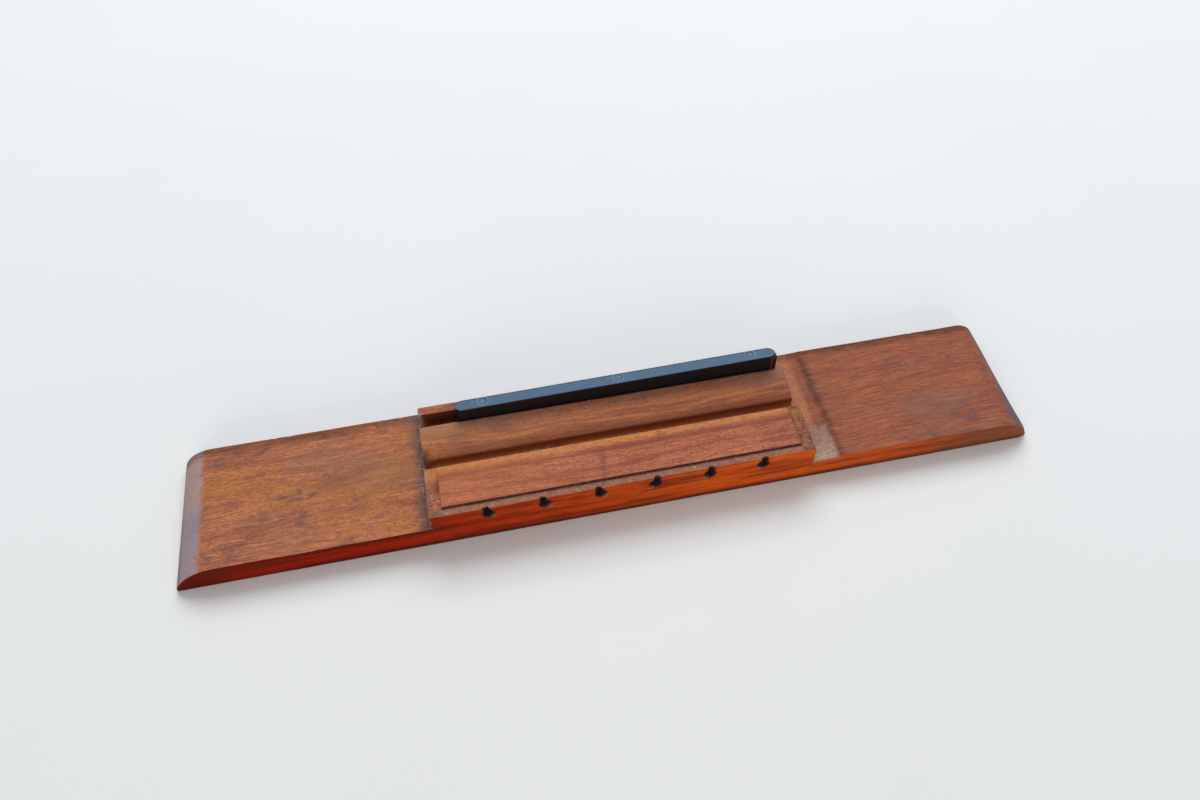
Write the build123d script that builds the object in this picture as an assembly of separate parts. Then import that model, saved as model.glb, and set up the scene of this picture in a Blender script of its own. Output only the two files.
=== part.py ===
from build123d import *
import os

# Tie bridge of a six-string classical guitar, off its instrument, with a loose moulded saddle.
# Frame: origin at the centre of the glue face, +X along the bridge, +Y from the string-hole
# face towards the saddle, +Z up. All sizes are in millimetres.

# ---- wings: one flat slab, rounded down to a thin nose at both ends ----
LENGTH = 185.0
WIDTH = 29.7
WING_THICKNESS = 6.2
NOSE_THICKNESS = 1.0
END_ROUND_RUN = 8.4

# ---- raised centre block, carved from the same piece of wood ----
BLOCK_LENGTH = 81.3
BLOCK_OFFSET = 0.1
BLOCK_HEIGHT = 10.5

# distances from the string-hole face, going back over the block
TIE_DEPTH = 12.15
TIE_ROUND = 1.4
TROUGH_FLOOR = 7.3
RIDGE_START = 14.9
RIDGE_LOW = 8.8
SLOT_FRONT = 22.75
SLOT_WIDTH = 3.3
SLOT_FLOOR = 6.5
REAR_ROUND = 2.8

# ---- shallow scoop cut across the right wing, beside the block ----
SCOOP_FLAT = 3.2
SCOOP_LENGTH = 6.9
SCOOP_DEPTH = 0.45

# ---- string holes through the tie block, worn open at the mouth ----
STRING_COUNT = 6
STRING_SPACING = 11.6
STRING_OFFSET = 0.3
HOLE_RADIUS = 1.1
HOLE_HEIGHT = 8.5
NOTCH_RADIUS = 0.65

# ---- thin plate glued on the tie block, inside a bare rebate ----
PLATE_THICKNESS = 0.5
PLATE_SIDE_BORDER = 2.75
PLATE_NEAR_BORDER = 1.85

# ---- saddle: a flat moulded bar, loose in its slot ----
SADDLE_LENGTH = 71.2
SADDLE_THICKNESS = 3.0
SADDLE_OFFSET = 3.25
SADDLE_FRONT_GAP = 0.15
SADDLE_SEAT_GAP = 0.05
SADDLE_TOP_LEFT = 13.8
SADDLE_TOP_RIGHT = 14.7
SADDLE_REAR_ROUND = 0.45
PIN_MARK_RADIUS = 1.0
PIN_MARK_DEPTH = 0.12
PIN_MARK_SPACING = 29.8
PIN_MARK_MIDDLE = 3.5

# ---- worked out from the above ----
NEAR_FACE = -WIDTH / 2
BLOCK_LEFT = BLOCK_OFFSET - BLOCK_LENGTH / 2
BLOCK_RIGHT = BLOCK_OFFSET + BLOCK_LENGTH / 2
PLATE_TOP = BLOCK_HEIGHT + PLATE_THICKNESS
TIE_ROUND_HEIGHT = PLATE_TOP - TIE_ROUND
TIE_ROUND_RISE = BLOCK_HEIGHT - TIE_ROUND_HEIGHT
TIE_TOP_END = TIE_DEPTH - TIE_ROUND + (TIE_ROUND**2 - TIE_ROUND_RISE**2) ** 0.5
SADDLE_BOTTOM = SLOT_FLOOR + SADDLE_SEAT_GAP
SADDLE_FRONT = NEAR_FACE + SLOT_FRONT + SADDLE_FRONT_GAP
SADDLE_REAR = SADDLE_FRONT + SADDLE_THICKNESS
OVERRUN = 2.0
QUARTER_TURN = 90


def section_point(depth, height):
    """A point of the block's cross-section, depth measured back from the string-hole face."""
    return (NEAR_FACE + depth, height)


def wing_slab():
    """The full-length slab, with both ends curving down to a nose."""
    end, run = LENGTH / 2, END_ROUND_RUN
    with BuildPart() as slab:
        with BuildSketch(Plane.XZ):
            with BuildLine():
                Polyline((-end, NOSE_THICKNESS), (-end, 0), (end, 0), (end, NOSE_THICKNESS))
                right = TangentArc((end - run, WING_THICKNESS), (end, NOSE_THICKNESS), tangent=(1, 0))
                left = TangentArc((run - end, WING_THICKNESS), (-end, NOSE_THICKNESS), tangent=(-1, 0))
                Line(right @ 0, left @ 0)
            make_face()
        extrude(amount=WIDTH / 2, both=True)
    return slab.part


def block_section():
    """Outline of tie block, trough, ridge, saddle slot and rear ledge, in the Y-Z plane."""
    root = WING_THICKNESS / 2
    slot_rear = SLOT_FRONT + SLOT_WIDTH
    with BuildSketch(Plane.YZ) as sketch:
        with BuildLine():
            Polyline(
                section_point(WIDTH, BLOCK_HEIGHT - REAR_ROUND),
                section_point(WIDTH, root),
                section_point(0, root),
                section_point(0, BLOCK_HEIGHT),
                section_point(TIE_TOP_END, BLOCK_HEIGHT),
            )
            RadiusArc(
                section_point(TIE_TOP_END, BLOCK_HEIGHT),
                section_point(TIE_DEPTH, TIE_ROUND_HEIGHT),
                TIE_ROUND,
            )
            Polyline(
                section_point(TIE_DEPTH, TIE_ROUND_HEIGHT),
                section_point(TIE_DEPTH, TROUGH_FLOOR),
                section_point(RIDGE_START, TROUGH_FLOOR),
                section_point(RIDGE_START, RIDGE_LOW),
            )
            TangentArc(
                section_point(SLOT_FRONT, BLOCK_HEIGHT),
                section_point(RIDGE_START, RIDGE_LOW),
                tangent=(-1, 0),
            )
            Polyline(
                section_point(SLOT_FRONT, BLOCK_HEIGHT),
                section_point(SLOT_FRONT, SLOT_FLOOR),
                section_point(slot_rear, SLOT_FLOOR),
                section_point(slot_rear, BLOCK_HEIGHT),
                section_point(WIDTH - REAR_ROUND, BLOCK_HEIGHT),
            )
            RadiusArc(
                section_point(WIDTH - REAR_ROUND, BLOCK_HEIGHT),
                section_point(WIDTH, BLOCK_HEIGHT - REAR_ROUND),
                REAR_ROUND,
            )
        make_face()
    return sketch.sketch


def centre_block():
    block = extrude(block_section(), amount=BLOCK_LENGTH, dir=(1, 0, 0))
    return Pos(BLOCK_LEFT, 0, 0) * block


def string_positions():
    first = STRING_OFFSET - STRING_SPACING * (STRING_COUNT - 1) / 2
    return [first + STRING_SPACING * string for string in range(STRING_COUNT)]


def string_hole(x):
    """One drilled hole along Y, with the half-round notch that the string has worn above it."""
    drill_length = TIE_DEPTH + 2 * OVERRUN
    drill = Pos(x, NEAR_FACE + TIE_DEPTH / 2, HOLE_HEIGHT) * Rot(QUARTER_TURN, 0, 0)
    drill *= Cylinder(HOLE_RADIUS, drill_length)
    notch_height = BLOCK_HEIGHT - HOLE_HEIGHT + OVERRUN
    notch = Pos(x, NEAR_FACE, HOLE_HEIGHT + notch_height / 2) * Cylinder(NOTCH_RADIUS, notch_height)
    return drill + notch


def scoop():
    """Cutter for the hollow beside the block: a flat floor that curves up to the wing's top."""
    floor = WING_THICKNESS - SCOOP_DEPTH
    end = BLOCK_RIGHT + SCOOP_LENGTH
    lid = WING_THICKNESS + OVERRUN
    with BuildPart() as cutter:
        with BuildSketch(Plane.XZ):
            with BuildLine():
                flat = Line((BLOCK_RIGHT, floor), (BLOCK_RIGHT + SCOOP_FLAT, floor))
                rise = TangentArc(flat @ 1, (end, WING_THICKNESS), tangent=(1, 0))
                Polyline(rise @ 1, (end, lid), (BLOCK_RIGHT, lid), flat @ 0)
            make_face()
        extrude(amount=WIDTH / 2 + OVERRUN, both=True)
    return cutter.part


def bridge_body():
    body = wing_slab() + centre_block()
    body -= scoop()
    for x in string_positions():
        body -= string_hole(x)
    return body


def tie_block_plate():
    """The plate, whose rear edge carries on the rounding of the tie block below it."""
    round_start = TIE_DEPTH - TIE_ROUND
    with BuildSketch(Plane.YZ) as sketch:
        with BuildLine():
            Polyline(
                section_point(TIE_TOP_END, BLOCK_HEIGHT),
                section_point(PLATE_NEAR_BORDER, BLOCK_HEIGHT),
                section_point(PLATE_NEAR_BORDER, PLATE_TOP),
                section_point(round_start, PLATE_TOP),
            )
            RadiusArc(
                section_point(round_start, PLATE_TOP),
                section_point(TIE_TOP_END, BLOCK_HEIGHT),
                TIE_ROUND,
            )
        make_face()
    plate = extrude(sketch.sketch, amount=BLOCK_LENGTH - 2 * PLATE_SIDE_BORDER, dir=(1, 0, 0))
    return Pos(BLOCK_LEFT + PLATE_SIDE_BORDER, 0, 0) * plate


def saddle():
    """A bar with round ends and a top that rises a little to the right, as it stands in the slot."""
    left = SADDLE_OFFSET - SADDLE_LENGTH / 2
    right = SADDLE_OFFSET + SADDLE_LENGTH / 2
    middle = (SADDLE_FRONT + SADDLE_REAR) / 2
    with BuildPart() as bar:
        with BuildSketch(Plane.XZ.offset(-SADDLE_FRONT)):
            with BuildLine():
                Polyline(
                    (left, SADDLE_BOTTOM),
                    (right, SADDLE_BOTTOM),
                    (right, SADDLE_TOP_RIGHT),
                    (left, SADDLE_TOP_LEFT),
                    close=True,
                )
            make_face()
        extrude(amount=-SADDLE_THICKNESS)
        rear_edges = bar.edges().group_by(Axis.Y)[-1]
        fillet(rear_edges.sort_by(Axis.Z)[-1], SADDLE_REAR_ROUND)
    plan = Pos(SADDLE_OFFSET, middle, 0) * SlotOverall(SADDLE_LENGTH, SADDLE_THICKNESS)
    piece = bar.part & extrude(plan, amount=2 * SADDLE_TOP_RIGHT)
    slope = (SADDLE_TOP_RIGHT - SADDLE_TOP_LEFT) / SADDLE_LENGTH
    for place in (-1, 0, 1):
        x = PIN_MARK_MIDDLE + place * PIN_MARK_SPACING
        top = SADDLE_TOP_LEFT + slope * (x - left)
        mark = Pos(x, middle, top) * Cylinder(PIN_MARK_RADIUS, 2 * PIN_MARK_DEPTH)
        piece -= mark
    return piece


PIECES = {
    "bridge_body": bridge_body,
    "tie_block_plate": tie_block_plate,
    "saddle": saddle,
}

os.makedirs("parts", exist_ok=True)
for name, make in PIECES.items():
    export_step(make(), f"parts/{name}.step")
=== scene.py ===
import math
import random
from types import SimpleNamespace

import bmesh
import bpy
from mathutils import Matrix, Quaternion, Vector, noise


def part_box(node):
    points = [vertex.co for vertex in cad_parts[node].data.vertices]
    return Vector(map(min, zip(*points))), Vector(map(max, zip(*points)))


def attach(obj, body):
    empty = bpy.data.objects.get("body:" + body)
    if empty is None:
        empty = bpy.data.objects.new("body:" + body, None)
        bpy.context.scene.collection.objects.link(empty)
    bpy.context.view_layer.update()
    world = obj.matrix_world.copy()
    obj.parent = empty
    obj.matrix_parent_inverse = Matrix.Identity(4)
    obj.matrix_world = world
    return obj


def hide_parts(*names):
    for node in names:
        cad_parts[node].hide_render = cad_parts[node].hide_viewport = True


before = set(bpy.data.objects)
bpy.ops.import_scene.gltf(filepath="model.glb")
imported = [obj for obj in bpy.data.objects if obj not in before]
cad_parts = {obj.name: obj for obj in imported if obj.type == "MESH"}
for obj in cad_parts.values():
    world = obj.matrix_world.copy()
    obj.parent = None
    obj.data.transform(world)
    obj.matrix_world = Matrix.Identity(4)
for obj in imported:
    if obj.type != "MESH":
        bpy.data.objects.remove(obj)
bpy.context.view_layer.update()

# A worn wooden tie bridge for a classical guitar, with its loose black saddle.
# The shape functions work in millimetres, in the row frame. MM takes them to metres.
# "depth" is measured back from the string-hole face, and "height" up from the glue face.
MM = 0.001

# ---- sizes read from the frame ----
body_low, body_high = (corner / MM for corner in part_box("bridge_body"))
plate_low, plate_high = (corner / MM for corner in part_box("tie_block_plate"))
saddle_low, saddle_high = (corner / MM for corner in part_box("saddle"))
NEAR = body_low.y
WIDTH = body_high.y - body_low.y
END = body_high.x
BLOCK_HEIGHT = body_high.z
PLATE_TOP = plate_high.z

# ---- sizes of the bridge's wings and block, as in the CAD ----
WING = 6.2
NOSE = 1.0
SIDE_BORDER = 2.75
BLOCK_LEFT = plate_low.x - SIDE_BORDER
BLOCK_RIGHT = plate_high.x + SIDE_BORDER
TIE_DEPTH = 12.15
TIE_ROUND = 1.4
TROUGH_FLOOR = 7.3
RIDGE_START = 14.9
RIDGE_LOW = 8.8
SLOT_FRONT = 22.75
SLOT_REAR = 26.05
SLOT_FLOOR = 6.5
SCOOP_FLAT = 3.2
SCOOP_LENGTH = 6.9
SCOOP_DEPTH = 0.45
STRING_COUNT = 6
STRING_SPACING = 11.6
STRING_MIDDLE = 0.3
HOLE_RADIUS = 1.1
HOLE_HEIGHT = 8.5
NOTCH_RADIUS = 0.65
PLATE_DEPTH = plate_low.y - NEAR

# ---- wear that the CAD leaves out ----
COVE = 0.6
CORNER_COVE = 0.3
SHARP_ROUND = 0.15
RIDGE_ROUND = 0.4
END_ROUND = 0.25
END_RUN_NEAR = 9.0
END_RUN_LEFT = 7.0
END_RUN_RIGHT = 5.8
REAR_ROUND = 3.2
FOOT_ROUND = 0.12
PLATE_SIDE_ROUND = 0.18
PLATE_NEAR_ROUND = 0.16

# ---- mesh and masks ----
# CROWD: how far from a wall the extra points stand. FACE_SKIN: points nearer than this to the
# string-hole face's plane are on that face.
CROWD = (0.012, 0.05, 0.12, 0.22, 0.38, 0.6)
FACE_SKIN = 0.15
NEAR_STEPS = 16
FAR_STEPS = 9
HOLE_SIDES = 28
NOTCH_SIDES = 18

# ---- saddle ----
SADDLE_LENGTH = saddle_high.x - saddle_low.x
SADDLE_THICKNESS = saddle_high.y - saddle_low.y
SADDLE_MIDDLE = (saddle_high.x + saddle_low.x) / 2
SADDLE_LINE = (saddle_high.y + saddle_low.y) / 2
SADDLE_RISE = 0.9
SADDLE_REAR_ROUND = 0.6
SADDLE_FRONT_ROUND = 0.16
MARK_SPACING = 29.8
MARK_MIDDLE = 3.5
MARK_PLACES = [MARK_MIDDLE + step * MARK_SPACING for step in (-1, 0, 1)]
MARK_RADIUS = 1.0
MARK_DEPTH = 0.14
MARK_RIM = 0.02
MARK_SHIFT = 0.25

# ---- camera ----
CAMERA_PLACE = Vector((-24.4, -108.6, 167.6)) * MM
CAMERA_AIM = Vector((0.4, 15.0, 0.0)) * MM
CAMERA_ROLL = math.radians(-0.42)
CAMERA_LENS = 26.97
SENSOR_WIDTH = 36.0


# ======== small helpers ========

def smooth(value):
    value = min(1.0, max(0.0, value))
    return value * value * (3 - 2 * value)


def ramp(value, start, end):
    """0 before start, 1 past end, smooth between; start may be the larger."""
    return smooth((value - start) / (end - start))


def band(value, middle, reach):
    """1 at middle, falling to 0 at reach on both sides."""
    return smooth(1 - abs(value - middle) / reach)


def grain(x, y, z, size, seed=0.0):
    """Smooth noise from about -1 to 1, whose lumps are about size millimetres across."""
    return noise.noise(Vector((x / size + seed, y / size - seed, z / size + 2 * seed)))


def edge_drop(distance, radius):
    """How far a rounded edge lies below its flat, at a distance in from the edge."""
    if distance >= radius:
        return 0.0
    inward = radius - max(0.0, distance)
    return radius - math.sqrt(radius**2 - inward**2)


def arc_drop(past, run, drop):
    """How far an arc has fallen at past, when it starts level and falls by drop over run."""
    radius = (run**2 + drop**2) / (2 * drop)
    return radius - math.sqrt(radius**2 - past**2)


def spaced(start, end, step):
    """Evenly spaced places from start to end, about step apart, without the end itself."""
    count = max(1, round((end - start) / step))
    return [start + (end - start) * i / count for i in range(count)]


def crowded(places, walls):
    """The places, with extra ones crowding in on both sides of each wall."""
    low, high = min(places + walls), max(places + walls)
    kept = [p for p in places if all(abs(p - wall) > CROWD[-1] for wall in walls)]
    beside = [wall + side * gap for wall in walls for side in (-1, 1) for gap in CROWD]
    inside = [p for p in beside if low < p < high]
    return sorted(set(kept + inside + [low, high]))


def circle(sides):
    """Angles evenly round a circle."""
    return [2 * math.pi * side / sides for side in range(sides)]


# ======== mesh making ========

def skin(rings):
    """A new bmesh with one skin in it."""
    shape = bmesh.new()
    add_skin(shape, rings)
    return shape


def add_skin(shape, rings):
    """Adds a surface through closed rings of points in millimetres, capped at both ends."""
    rows = [[shape.verts.new(point * MM) for point in ring] for ring in rings]
    count = len(rows[0])
    for before, after in zip(rows, rows[1:]):
        for i in range(count):
            j = (i + 1) % count
            shape.faces.new((before[i], before[j], after[j], after[i]))
    caps = [shape.faces.new(rows[0]), shape.faces.new(rows[-1])]
    bmesh.ops.triangulate(shape, faces=caps)
    bmesh.ops.recalc_face_normals(shape, faces=shape.faces)


def to_object(shape, name):
    mesh = bpy.data.meshes.new(name)
    shape.to_mesh(mesh)
    shape.free()
    piece = bpy.data.objects.new(name, mesh)
    bpy.context.scene.collection.objects.link(piece)
    return piece


def cut(piece, cutter):
    """Takes the cutter's volume out of the piece, and removes the cutter."""
    tool = piece.modifiers.new("cut", "BOOLEAN")
    tool.operation = "DIFFERENCE"
    tool.solver = "EXACT"
    tool.object = cutter
    bpy.context.view_layer.update()
    graph = bpy.context.evaluated_depsgraph_get()
    piece.data = bpy.data.meshes.new_from_object(piece.evaluated_get(graph))
    piece.modifiers.clear()
    bpy.data.objects.remove(cutter)


def shade(piece, angle=32):
    """Smooth shading that stays crisp across real edges."""
    piece.data.polygons.foreach_set("use_smooth", [True] * len(piece.data.polygons))
    piece.data.set_sharp_from_angle(angle=math.radians(angle))


def paint(piece, masks):
    """Stores each mask(x, depth, height), from 0 to 1, as an attribute for the materials."""
    spots = [vertex.co / MM for vertex in piece.data.vertices]
    for name, mask in masks.items():
        attribute = piece.data.attributes.new(name, "FLOAT", "POINT")
        values = [min(1.0, max(0.0, mask(p.x, p.y - NEAR, p.z))) for p in spots]
        attribute.data.foreach_set("value", values)


def finish_piece(piece, body, node, material):
    piece.data.materials.clear()
    piece.data.materials.append(material)
    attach(piece, body)
    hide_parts(node)


# ======== bridge body: shape ========

def end_run(x, depth):
    """Length of a wing's rounding, which was filed shorter toward the saddle side."""
    least = END_RUN_LEFT if x < 0 else END_RUN_RIGHT
    return END_RUN_NEAR + (least - END_RUN_NEAR) * smooth(depth / WIDTH)


def wing_height(x, depth):
    """Top of the wings, which curve down to a thin nose at both ends."""
    run = end_run(x, depth)
    past = min(run, abs(x) - (END - run))
    if past <= 0:
        return WING
    return WING - arc_drop(past, run, WING - NOSE)


def scoop_drop(x, depth):
    """Depth of the hollow cut across the right wing, shallower toward the saddle side."""
    return scoop_depth(x) * (1 - 0.6 * ramp(depth, 18.0, WIDTH))


def scoop_depth(x):
    """The scoop's profile along the wing: a flat floor that curves up to the wing's top."""
    past = x - BLOCK_RIGHT
    if past < 0 or past > SCOOP_LENGTH:
        return 0.0
    if past < SCOOP_FLAT:
        return SCOOP_DEPTH
    return SCOOP_DEPTH - arc_drop(past - SCOOP_FLAT, SCOOP_LENGTH - SCOOP_FLAT, SCOOP_DEPTH)


def tie_arc(depth):
    """The plate's top, rounding down toward the trough; the tie block carries the round on."""
    past = max(0.0, depth - (TIE_DEPTH - TIE_ROUND))
    return PLATE_TOP - TIE_ROUND + math.sqrt(TIE_ROUND**2 - past**2)


def tie_height(depth):
    return min(BLOCK_HEIGHT, tie_arc(depth))


def ridge_height(depth):
    """The ridge, which climbs from the trough and ends level at the slot."""
    arc = arc_drop(SLOT_FRONT - depth, SLOT_FRONT - RIDGE_START, BLOCK_HEIGHT - RIDGE_LOW)
    foot = edge_drop(depth - RIDGE_START, RIDGE_ROUND)
    return BLOCK_HEIGHT - arc - foot - edge_drop(SLOT_FRONT - depth, SHARP_ROUND)


def ledge_height(depth):
    """The rear ledge, rounded toward the saddle-side face."""
    past = min(REAR_ROUND, max(0.0, depth - (WIDTH - REAR_ROUND)))
    arc = BLOCK_HEIGHT - REAR_ROUND + math.sqrt(REAR_ROUND**2 - past**2)
    return arc - edge_drop(depth - SLOT_REAR, SHARP_ROUND)


def block_height(depth):
    """Cross-section of the block: tie block, trough, ridge, saddle slot and rear ledge."""
    if depth < TIE_DEPTH:
        return tie_height(depth)
    if depth < RIDGE_START:
        wall = min(depth - TIE_DEPTH, RIDGE_START - depth)
        return TROUGH_FLOOR + edge_drop(wall, CORNER_COVE)
    if depth < SLOT_FRONT:
        return ridge_height(depth)
    if depth < SLOT_REAR:
        return SLOT_FLOOR
    return ledge_height(depth)


def end_round(x, depth):
    """Rounding of the block's end edges: handling has worn the ridge's left end most."""
    worn = END_ROUND + 0.12 * grain(x, depth, 0, 1.7, 5.0)
    if x < 0:
        worn += 0.55 * band(depth, RIDGE_START + 1.2, 2.6)
        worn += 0.5 * band(depth, SLOT_REAR + 0.3, 0.9)
    return max(0.08, worn)


def body_height(x, depth):
    """Wing and block together, with a small cove where the block's end walls meet the wings."""
    wing = wing_height(x, depth) - scoop_drop(x, depth)
    inside = min(x - BLOCK_LEFT, BLOCK_RIGHT - x)
    block = block_height(depth)
    if inside > 0:
        return max(wing, block - edge_drop(inside, end_round(x, depth)))
    return min(wing + edge_drop(-inside, COVE), max(wing, block))


def edge_wear(x, seed):
    """Radius of a long top edge, with small dents along it."""
    dents = max(0.0, grain(x, 0, 0, 1.1, seed) - 0.3)
    return 0.2 + 0.1 * grain(x, 0, 0, 7.0, seed) + 0.5 * dents


def roughness(x, depth):
    """Planing waves and raised grain on the top, coarser where the wood is bare."""
    waves = 0.05 * grain(x / 3, depth, 0, 5.0, 1.0)
    fibres = 0.02 * grain(x / 6, depth, 0, 0.6, 2.0)
    torn = 0.11 * grain(x, depth * 1.4, 0, 0.7, 3.0) * bare_mask(x, depth, WING)
    return waves + fibres + torn


def body_top(x, depth):
    """The worn top: both long edges rounded and dented, the surface planed and torn."""
    height = body_height(x, depth)
    most = 0.4 * height
    near = edge_drop(depth, min(most, edge_wear(x, 11.0)))
    far = edge_drop(WIDTH - depth, min(most, edge_wear(x, 23.0)))
    return height - near - far + roughness(x, depth) * min(1.0, height / WING)


def side_inset(x, height, seed):
    """The long faces are sawn and scraped, so they wave a little."""
    return 0.03 + 0.03 * grain(x / 4, 0, height, 1.6, seed)


def side_heights(top, steps):
    """Heights up a long face, from its slightly rounded foot to just below its top."""
    low = min(FOOT_ROUND, 0.3 * top)
    return [low + (top - low) * step / steps for step in range(steps)]


def body_ring(x, top_depths):
    """The closed outline at x: the glue face, the near face, the top and the far face."""
    under = spaced(FOOT_ROUND, WIDTH, 3.0) + [WIDTH - FOOT_ROUND]
    bottom = [(depth, 0.0) for depth in reversed(under)]
    top = [(depth, body_top(x, depth)) for depth in top_depths]
    near = [(0.0, height) for height in side_heights(top[0][1], NEAR_STEPS)]
    far = [(WIDTH, height) for height in reversed(side_heights(top[-1][1], FAR_STEPS))]
    ring = []
    for depth, height in bottom + near + top + far:
        if depth <= 0.0:
            depth += side_inset(x, height, 31.0)
        if depth >= WIDTH:
            depth -= side_inset(x, height, 37.0)
        ring.append(worn_corner(Vector((x, NEAR + depth, height))))
    return ring


def worn_corner(point):
    """The nose's near-right corner is rubbed round in plan."""
    reach = 2.2
    share = ramp(point.x, END - reach, END) * ramp(point.y, NEAR + reach, NEAR)
    return point + Vector((-0.5, 0.3, 0.0)) * share


def body_stations():
    """Where the rings stand along X, closer together where the shape changes."""
    rounded = END - (END_RUN_NEAR + 0.2)
    spans = [
        (-END, -rounded, 0.4),
        (-rounded, BLOCK_LEFT, 0.8),
        (BLOCK_LEFT, BLOCK_RIGHT, 0.4),
        (BLOCK_RIGHT, BLOCK_RIGHT + SCOOP_LENGTH, 0.45),
        (BLOCK_RIGHT + SCOOP_LENGTH, rounded, 0.8),
        (rounded, END, 0.4),
    ]
    places = [place for start, end, step in spans for place in spaced(start, end, step)]
    walls = [-END, BLOCK_LEFT, BLOCK_RIGHT, BLOCK_RIGHT + SCOOP_LENGTH, END]
    return crowded(places, walls)


def string_positions():
    first = STRING_MIDDLE - STRING_SPACING * (STRING_COUNT - 1) / 2
    return [first + STRING_SPACING * string for string in range(STRING_COUNT)]


def nearest_string(x):
    return min(string_positions(), key=lambda place: abs(place - x))


def hole_lean(x):
    """Strings have dragged the left holes' mouths one way and the right ones' the other."""
    return -0.45 if x < 0 else 0.3


def hole_rings(x):
    """A drilled bore whose mouth is chipped wider."""
    rings = []
    for depth, flare in ((-1.0, 0.22), (0.0, 0.22), (0.25, 0.1), (0.7, 0.0), (TIE_DEPTH + 1, 0.0)):
        ring = []
        for angle in circle(HOLE_SIDES):
            across, up = math.cos(angle), math.sin(angle)
            ragged = 1 + flare / 1.2 * grain(x + 2 * across, 2 * up, 0, 1.2)
            reach = (HOLE_RADIUS + flare / 2) * ragged
            ring.append(Vector((x + reach * across, NEAR + depth, HOLE_HEIGHT + reach * up)))
        rings.append(ring)
    return rings


def notch_rings(x):
    """The groove above a hole, leaning the way the string pulled."""
    rings = []
    for height in (HOLE_HEIGHT - 0.2, HOLE_HEIGHT + 0.9, BLOCK_HEIGHT - 0.5, BLOCK_HEIGHT + 1):
        share = (height - HOLE_HEIGHT) / (BLOCK_HEIGHT - HOLE_HEIGHT)
        middle = x + hole_lean(x) * share
        ring = []
        for angle in circle(NOTCH_SIDES):
            reach = NOTCH_RADIUS * (1.15 + 0.3 * grain(x, 3 * angle, height, 1.5))
            across, deep = reach * math.cos(angle), reach * math.sin(angle)
            ring.append(Vector((middle + across, NEAR + deep, height)))
        rings.append(ring)
    return rings


def string_cutter(name, rings_at):
    """One cutter for all the strings, from the rings that rings_at gives for each."""
    shape = bmesh.new()
    for x in string_positions():
        add_skin(shape, rings_at(x))
    return to_object(shape, name)


# ======== bridge body: where it is dirty, bare and worn, and where shade, sheen and highlights are painted ===

def on_block(x):
    """1 over the block, 0 beyond its end walls."""
    return ramp(min(x - BLOCK_LEFT, BLOCK_RIGHT - x), -0.15, 0.15)


def on_wing_top(height):
    """1 at the wings' top, 0 down their long faces."""
    return ramp(height, WING - 2.2, WING - 1.0)


def border_mask(x, depth):
    """The rough rebate round the plate, barest along the string-hole face."""
    front = ramp(depth - PLATE_DEPTH, 0.15, -0.05)
    sides = ramp(min(x - plate_low.x, plate_high.x - x), 0.15, -0.05)
    ragged = 0.15 + 0.35 * grain(x, depth, 0, 1.3, 47.0)
    return on_block(x) * ramp(depth, TIE_DEPTH, TIE_DEPTH - 0.2) * max(front, ragged * sides)


def scoop_patch(x, depth):
    """Bare, greyed wood at the scoop's near end."""
    past = x - BLOCK_RIGHT
    ragged = depth + 1.3 * grain(x, depth, 0, 1.2, 41.0)
    return ramp(past, -0.1, 0.2) * ramp(past, 6.6, 5.6) * ramp(ragged, 9.2, 8.0)


def scoop_strip(x, depth):
    """A bare strip along the block, in the scoop."""
    past = x - BLOCK_RIGHT
    ragged = past + 0.5 * grain(x, depth, 0, 1.8, 43.0)
    return ramp(past, -0.1, 0.2) * ramp(ragged, 2.6, 1.6)


def scoop_mask(x, depth):
    """How bare the scoop is."""
    return max(scoop_patch(x, depth), 0.3 * scoop_strip(x, depth))


def bare_mask(x, depth, height):
    """Bare wood: the rebate, the scoop, and a strip at the left wall's saddle end."""
    if height < WING - 1.2 or depth < FACE_SKIN:
        return 0.0
    left_strip = 0.5 * band(x, BLOCK_LEFT - 0.1, 1.1) * ramp(depth, 14.0, 20.0)
    return max(border_mask(x, depth), scoop_mask(x, depth), left_strip)


def haze_and_sheen_mask(x, depth, height):
    """Worn, greyed finish on the rounded ends of the wings, with a painted bluish sky sheen."""
    ragged = 0.6 * grain(x, depth, 0, 2.4, 83.0)
    left = ramp(x + ragged, -END + 6.2, -END + 4.6)
    taper = 2.4 * ramp(depth, 22.0, 2.0)
    right = ramp(x, END - 2.6 - taper, END - 1.0 - taper)
    off_face = max(ramp(depth, 0.1, 0.5), ramp(abs(x), END - 0.02, END))
    return max(left, 0.85 * right) * off_face


def near_foot_shade(x, height):
    """Painted shade: a dark band along the foot of the string-hole face."""
    rise = 1.5 + 0.7 * grain(x / 3, 0, 0, 3.0, 51.0)
    return 0.4 * ramp(x, BLOCK_LEFT - 8, BLOCK_LEFT + 2) * ramp(height, rise, rise - 1.4)


def hole_dirt_and_shade(x, depth, height):
    """Black round the mouths of the holes, dirt with painted shade, and painted shade in their
    notches.
    """
    nearest = nearest_string(x)
    across, up = x - nearest, height - HOLE_HEIGHT
    bore = ramp(math.hypot(across, up), HOLE_RADIUS + 0.5, HOLE_RADIUS + 0.1)
    groove = ramp(abs(across - hole_lean(nearest) * up / 2), 1.0, 0.6) * ramp(up, 0.0, 0.6)
    return max(bore, groove * ramp(depth, 1.0, 0.5))


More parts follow.
